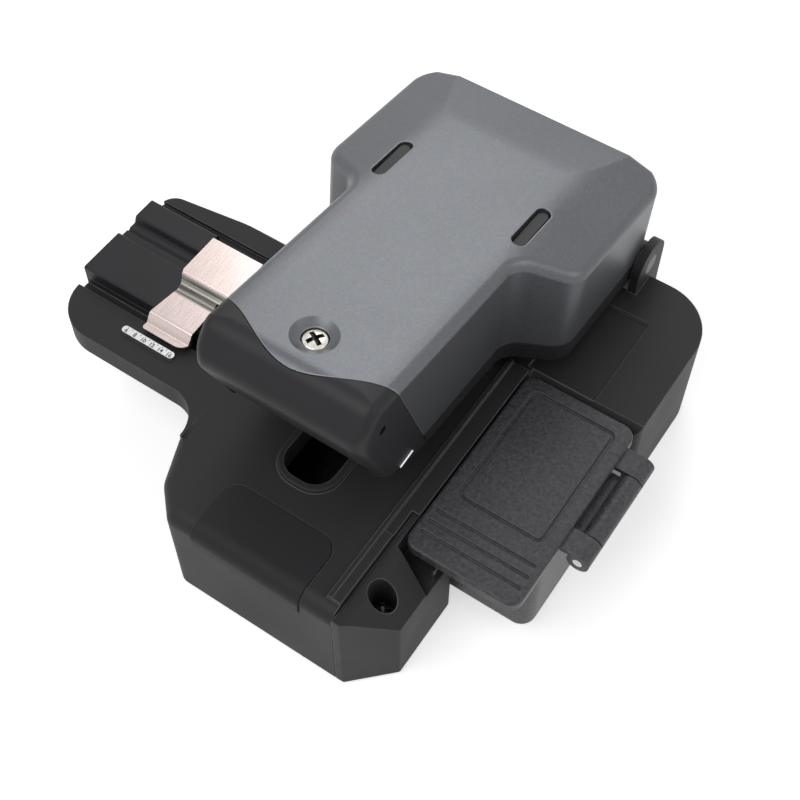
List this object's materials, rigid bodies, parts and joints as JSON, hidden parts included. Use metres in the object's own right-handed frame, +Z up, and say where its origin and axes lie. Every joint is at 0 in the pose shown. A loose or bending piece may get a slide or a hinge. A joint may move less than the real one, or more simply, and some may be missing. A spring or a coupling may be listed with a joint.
{
  "type": "fibre cleaver",
  "caption": "Bench cleaver for optical fibre: sprung lever over a sliding blade, grooved holder with leaf clip and scale, lidded scrap bin.",
  "frame": {"origin": "on the table under the cleave point, where the fibre line crosses the lever's centre plane", "axes": "+X along the fibre towards the waste bin, +Y towards the lever hinge, +Z up"},
  "size_m": [0.1095, 0.098, 0.0598],
  "materials": {
    "black_casting": "satin black powder coat on a die casting",
    "grip_rubber": "matt black soft-touch",
    "foot_rubber": "matt black",
    "cover_plate_black": "matt black paint",
    "black_polymer": "satin black moulding",
    "bin_polymer": "fine-textured dark grey moulding",
    "lever_grey": "satin metallic grey paint",
    "insert_grey": "satin mid grey",
    "scale_steel": "satin steel with dark marks",
    "leaf_steel": "bright spring steel",
    "pin_steel": "ground steel",
    "screw_nickel": "bright nickel plate",
    "screw_zinc": "zinc plate",
    "plated_steel": "bright plated steel",
    "anodised_aluminium": "dark anodised",
    "pad_rubber": "matt black",
    "rail_steel": "ground bearing steel",
    "carbide": "lapped carbide",
    "spring_steel": "spring wire",
    "washer_polymer": "natural polymer"
  },
  "bodies": {
    "base": {"chassis": "black_casting", "right_housing": "black_casting", "housing_screw": "screw_nickel", "base_cover": "cover_plate_black", "cover_plate_screws": "screw_zinc", "foot_front_left": "foot_rubber", "foot_front_right": "foot_rubber", "foot_rear_left": "foot_rubber", "foot_rear_right": "foot_rubber", "grip_pad": "grip_rubber", "fibre_holder": "black_polymer", "ruler": "scale_steel", "clip_pin": "pin_steel", "clamp_block_left": "anodised_aluminium", "clamp_block_right": "anodised_aluminium", "lower_pad_left": "pad_rubber", "lower_pad_right": "pad_rubber", "rest_pads": "foot_rubber", "guide_rail": "rail_steel", "guide_screws": "screw_zinc", "spring_post": "pin_steel", "hinge_shaft": "pin_steel", "hinge_washers": "washer_polymer", "hinge_spring": "spring_steel", "bin_catch": "leaf_steel", "carriage_spring": "spring_steel"},
    "lever": {"lever_cover": "lever_grey", "lever_nose": "black_polymer", "lever_frame": "black_polymer", "lever_arm": "plated_steel", "nose_pin": "pin_steel", "cover_screw": "screw_nickel", "frame_screws": "screw_zinc", "slot_insert_left": "insert_grey", "slot_insert_right": "insert_grey", "guide_pins": "pin_steel", "anvil_holder": "anodised_aluminium", "anvil_face": "pad_rubber", "clamp_spring_left": "spring_steel", "clamp_spring_right": "spring_steel"},
    "upper_clamp": {"clamp_carrier": "anodised_aluminium", "upper_pad_left": "pad_rubber", "upper_pad_right": "pad_rubber"},
    "blade_carriage": {"carriage": "rail_steel", "blade_holder": "anodised_aluminium", "carriage_screws": "screw_zinc", "blade_axle": "screw_zinc"},
    "blade_disc": {"blade": "carbide"},
    "fibre_clip": {"clip_leaf": "leaf_steel", "clip_pad": "pad_rubber"},
    "bin": {"bin_box": "bin_polymer", "lid_pin": "pin_steel"},
    "lid": {"bin_lid": "bin_polymer"}
  },
  "joints": [
    {"name": "lever_hinge", "type": "hinge", "parent": "base", "child": "lever", "pos_m": [0, 0.0482, 0.0276], "axis": [-1, 0, 0], "range_deg": [-6, 32], "stiffness_Nm_per_rad": 0.03, "springref_deg": 20.05, "deforming": ["hinge_spring"]},
    {"name": "upper_clamp_slide", "type": "slide", "parent": "lever", "child": "upper_clamp", "axis": [0, 0.1045, 0.9945], "range_m": [0, 0.0009], "stiffness_N_per_m": 400, "springref_m": -0.0005, "deforming": ["clamp_spring_left", "clamp_spring_right"]},
    {"name": "carriage_slide", "type": "slide", "parent": "base", "child": "blade_carriage", "axis": [0, 1, 0], "range_m": [-0.018, 0], "stiffness_N_per_m": 40, "springref_m": -0.018, "deforming": ["carriage_spring"]},
    {"name": "blade_turn", "type": "hinge", "parent": "blade_carriage", "child": "blade_disc", "pos_m": [0, 0.004, 0.01905], "axis": [1, 0, 0], "continuous": true},
    {"name": "clip_hinge", "type": "hinge", "parent": "base", "child": "fibre_clip", "pos_m": [-0.0377, 0.0058, 0.0269], "axis": [-1, 0, 0], "range_deg": [0, 80]},
    {"name": "bin_slide", "type": "slide", "parent": "base", "child": "bin", "axis": [1, 0, 0], "range_m": [0, 0.03]},
    {"name": "lid_hinge", "type": "hinge", "parent": "bin", "child": "lid", "pos_m": [0.0474, 0, 0.0222], "axis": [0, 1, 0], "range_deg": [0, 105]}
  ]
}
